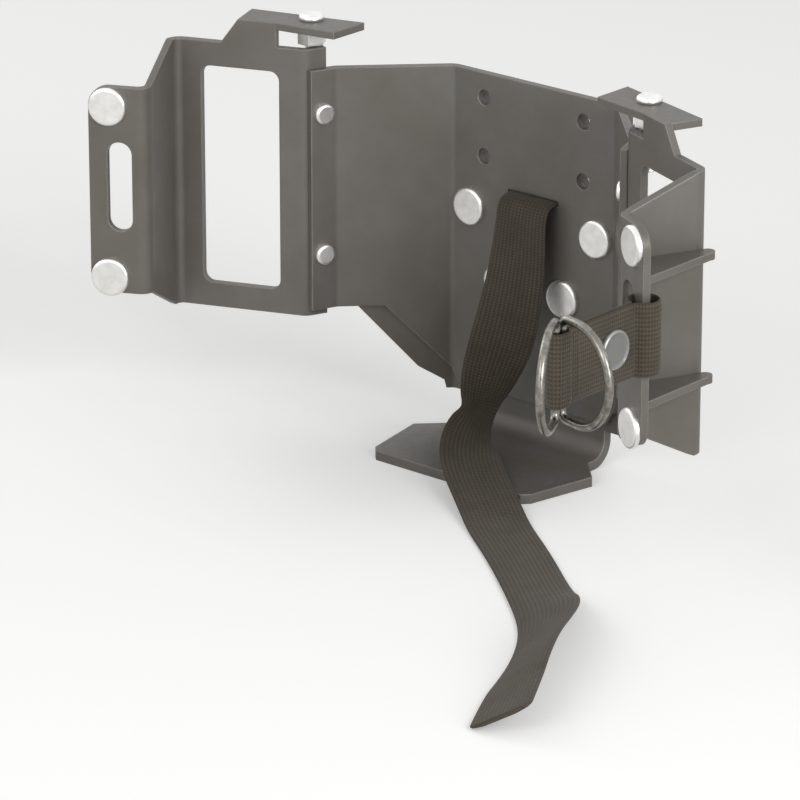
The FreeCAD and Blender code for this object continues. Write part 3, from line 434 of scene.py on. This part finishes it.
def doubled_outline(count=220):
    """Middle line of the webbing seen from above, as a closed loop of (along, offset) pairs.
    The offset is the fourth-power blend of a circle round the bar, a long circle round the rings and a
    constant between them that fades at both ends."""
    start, end = -wing_loop_radius, ring_bar_far + ring_loop_radius
    angle = np.linspace(0, 2 * np.pi, count, endpoint=False)
    along = (start + end) / 2 - (end - start) / 2 * np.cos(angle)
    past_ring = np.maximum(np.maximum(ring_bar_near - along, along - ring_bar_far), 0)
    wing_part = np.sqrt(np.maximum(wing_loop_radius ** 2 - along ** 2, 0))
    ring_part = np.sqrt(np.maximum(ring_loop_radius ** 2 - past_ring ** 2, 0))
    fade = 1 - np.exp(-np.minimum(along - start, end - along) / layer_fade)
    flat_part = layer_offset * fade
    offset = (wing_part ** 4 + ring_part ** 4 + flat_part ** 4) ** 0.25
    return along, offset * np.sign(np.sin(angle) + 1e-9)


loop_along, loop_offset = doubled_outline()
short_line = bight_place + np.column_stack([loop_offset, -loop_along, np.zeros(len(loop_along))])
upright_way = np.tile([0.0, 0.0, 1.0], (len(short_line), 1))
short_strap = build_piece(
    "short_webbing_strap",
    band_points(short_line, upright_way, short_strap_width, webbing_thickness, closed=True),
    webbing, uv=band_uv(short_line, short_strap_width, webbing_thickness, closed=True),
    rows_close=True)
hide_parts("short_strap")

sewing_thread, tree = new_material("waxed_polyester_thread")
# Sewing thread: dull and a little paler than the cloth
place = add_node(tree, "ShaderNodeTexCoord").outputs["Object"]
stitch_cloth = add_node(tree, "ShaderNodeTexNoise", {"Vector": place}, {"Scale": thread_fuzz_per_metre})
stitch_bump = add_node(tree, "ShaderNodeBump", {"Height": stitch_cloth.outputs["Fac"]},
                       {"Strength": 0.4, "Distance": 0.0001})
stitch_face = add_node(tree, "ShaderNodeBsdfPrincipled", {"Normal": stitch_bump.outputs["Normal"]},
                       {"Base Color": linear(thread_colour), "Roughness": 0.6, "IOR": 1.5})
add_node(tree, "ShaderNodeOutputMaterial", {"Surface": stitch_face.outputs["BSDF"]})


def stitch_points(middles, rows=9, columns=8):
    """Upright capsules at these middles: the radius is r times the root of 1 - |height / half length|^6."""
    way = np.linspace(-1, 1, rows)
    radii = stitch_radius * np.sqrt(1 - np.abs(way) ** 6)
    one_stitch = turned_points(radii, way * stitch_length / 2, columns, (0, 0, 1), np.zeros(3))
    return middles[:, None, None] + one_stitch


stitch_count = int(short_strap_width * stitched_share / stitch_pitch)
stitch_heights = (np.arange(stitch_count) - (stitch_count - 1) / 2) * stitch_pitch
stitch_out = layer_offset + webbing_thickness / 2
out, along, rise = np.meshgrid([stitch_out, -stitch_out], stitch_rows, stitch_heights, indexing="ij")
stitch_middles = bight_place + np.stack([out, -along, rise], axis=-1).reshape(-1, 3)
build_piece("ring_loop_stitches", stitch_points(stitch_middles), sewing_thread)

# Snap: pressed steel cap, 15 mm across, with a rolled rim round a shallow dish, riveted through the
# doubled webbing. Its grey finish is satin. The rolled rim is painted paler: a painted highlight, partly worn
# metal.
snap_place = bight_place + np.array([webbing_thickness, -0.019, 0.0])
snap_low, snap_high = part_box("strap_snap")
snap_radius = (snap_high[2] - snap_low[2]) / 2
# Share of the radius, and height in mm
snap_profile = np.array([
    [0.0, 1.45], [0.2, 1.44], [0.45, 1.42], [0.66, 1.4], [0.74, 1.43], [0.79, 1.55], [0.84, 1.74],
    [0.88, 1.84], [0.92, 1.84], [0.955, 1.7], [0.985, 1.4], [1.0, 1.0], [1.0, 0.3], [0.98, 0.0], [0.0, 0.0]])
snap_profile *= np.array([snap_radius, 0.001])
snap_grey = "#8b8b89"
# Rim colour: a painted highlight, partly worn metal
snap_rim_highlight = "#b4b4b1"
snap_marks_per_metre = 900.0

snap_metal, tree = new_material("satin_snap_metal")
# Pressed steel with a satin plate: even grey, fine concentric worn marks on the rolled rim, whose paler
# colour is a painted highlight
place = add_node(tree, "ShaderNodeTexCoord").outputs["Object"]
mark = add_node(tree, "ShaderNodeTexNoise", {"Vector": place}, {"Scale": snap_marks_per_metre, "Detail": 3.0})
surface = add_node(tree, "ShaderNodeNewGeometry")
# Rolled rim painted paler by pointiness: a painted highlight, partly worn metal
rim_highlight_part = add_node(tree, "ShaderNodeMapRange", {"Value": surface.outputs["Pointiness"]},
                    {"From Min": 0.5, "From Max": 0.56, "To Min": 0.0, "To Max": 1.0})
snap_tone = add_node(tree, "ShaderNodeMix", {"Factor": rim_highlight_part.outputs["Result"]},
                     {6: linear(snap_grey), 7: linear(snap_rim_highlight)}, data_type="RGBA")
snap_gloss = add_node(tree, "ShaderNodeMapRange", {"Value": mark.outputs["Fac"]},
                      {"From Min": 0.3, "From Max": 0.7, "To Min": 0.36, "To Max": 0.5})
snap_face = add_node(tree, "ShaderNodeBsdfPrincipled",
                     {"Base Color": snap_tone.outputs[2], "Roughness": snap_gloss.outputs["Result"]},
                     {"Metallic": 0.8})
add_node(tree, "ShaderNodeOutputMaterial", {"Surface": snap_face.outputs["BSDF"]})
snap_points = turned_points(snap_profile[:, 0], snap_profile[:, 1], 64, (1, 0, 0), snap_place)
snap = build_piece("snap_cap", snap_points, snap_metal)
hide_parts("strap_snap")

# Rings: two D rings of 3.2 mm steel wire, bent and butt-welded, nickel-plated. Their straight bars lie
# in the short strap's loop, and they swing on it.
ring_pale = "#a19e97"
ring_dark = "#6d6a63"
ring_patches_per_metre = 320.0
ring_steel, tree = new_material("nickel_plated_wire")
# Nickel plate on drawn wire: warm grey mirror, with dull patches where it is handled
place = add_node(tree, "ShaderNodeTexCoord").outputs["Object"]
patch = add_node(tree, "ShaderNodeTexNoise", {"Vector": place},
                 {"Scale": ring_patches_per_metre, "Detail": 5.0, "Roughness": 0.65})
patch_part = add_node(tree, "ShaderNodeMapRange", {"Value": patch.outputs["Fac"]},
                      {"From Min": 0.35, "From Max": 0.65, "To Min": 0.0, "To Max": 1.0})
nickel_tone = add_node(tree, "ShaderNodeMix", {"Factor": patch_part.outputs["Result"]},
                       {6: linear(ring_dark), 7: linear(ring_pale)}, data_type="RGBA")
nickel_gloss = add_node(tree, "ShaderNodeMapRange", {"Value": patch.outputs["Fac"]},
                        {"From Min": 0.3, "From Max": 0.7, "To Min": 0.38, "To Max": 0.22})
nickel = add_node(tree, "ShaderNodeBsdfPrincipled",
                  {"Base Color": nickel_tone.outputs[2], "Roughness": nickel_gloss.outputs["Result"]},
                  {"Metallic": 1.0})
add_node(tree, "ShaderNodeOutputMaterial", {"Surface": nickel.outputs["BSDF"]})
dress(["rear_ring", "front_ring"], ring_steel)

# Floor and lights: a pale seamless paper floor under even white air, and three broad soft lamps. The
# strongest stands on the right, where it lights the right side panel and throws the shadow to the left.
floor_half = 6.0
floor_white = "#f4f4f2"
floor_glow = 0.22
air_light = 0.42
floor_mesh = bpy.data.meshes.new("studio_floor")
floor_mesh.from_pydata([(-floor_half, -floor_half, 0), (floor_half, -floor_half, 0),
                        (floor_half, floor_half, 0), (-floor_half, floor_half, 0)], [], [(0, 1, 2, 3)])
floor = bpy.data.objects.new("studio_floor", floor_mesh)
bpy.context.scene.collection.objects.link(floor)
paper, tree = new_material("studio_paper")
# Matt paper: the camera sees it a little brighter than it is lit, so that it is white and keeps shadows
flat_white = add_node(tree, "ShaderNodeBsdfDiffuse", None, {"Color": linear(floor_white), "Roughness": 0.0})
glow = add_node(tree, "ShaderNodeEmission", None, {"Color": (1, 1, 1, 1), "Strength": floor_glow})
both = add_node(tree, "ShaderNodeAddShader", {0: flat_white.outputs["BSDF"], 1: glow.outputs["Emission"]})
light_path = add_node(tree, "ShaderNodeLightPath")
seen = add_node(tree, "ShaderNodeMixShader", {0: light_path.outputs["Is Camera Ray"],
                                             1: flat_white.outputs["BSDF"], 2: both.outputs["Shader"]})
add_node(tree, "ShaderNodeOutputMaterial", {"Surface": seen.outputs["Shader"]})
floor_mesh.materials.append(paper)

world = bpy.data.worlds.new("studio")
bpy.context.scene.world = world
world.use_nodes = True
tree = world.node_tree
tree.nodes.clear()
light_path = add_node(tree, "ShaderNodeLightPath")
shown = add_node(tree, "ShaderNodeMath", {0: light_path.outputs["Is Camera Ray"],
                                         1: light_path.outputs["Is Glossy Ray"]}, operation="MAXIMUM")
level = add_node(tree, "ShaderNodeMapRange", {"Value": shown.outputs["Value"]},
                 {"From Min": 0.0, "From Max": 1.0, "To Min": air_light, "To Max": 1.0})
studio_air = add_node(tree, "ShaderNodeBackground", {"Strength": level.outputs["Result"]},
                      {"Color": (1.0, 1.0, 1.0, 1.0)})
add_node(tree, "ShaderNodeOutputWorld", {"Surface": studio_air.outputs["Background"]})


def add_lamp(name, place, target, size, power):
    """Square lamp at this place, turned so that it faces the target. Size in metres, power in watts."""
    data = bpy.data.lights.new(name, "AREA")
    data.shape = "SQUARE"
    data.size = size
    data.energy = power
    lamp = bpy.data.objects.new(name, data)
    bpy.context.scene.collection.objects.link(lamp)
    way = np.asarray(target, float) - np.asarray(place, float)
    lamp.location = place
    lamp.rotation_euler = (math.atan2(math.hypot(way[0], way[1]), -way[2]), 0.0, math.atan2(-way[0], way[1]))


lamp_target = (0.0, -0.05, 0.08)
add_lamp("key_lamp", (1.9, -0.6, 0.9), lamp_target, 1.0, 26.0)
add_lamp("front_lamp", (0.1, -1.9, 1.0), lamp_target, 1.2, 9.0)
add_lamp("left_lamp", (-1.6, -0.2, 1.0), lamp_target, 1.0, 5.0)

bpy.context.scene.view_settings.view_transform = "Standard"
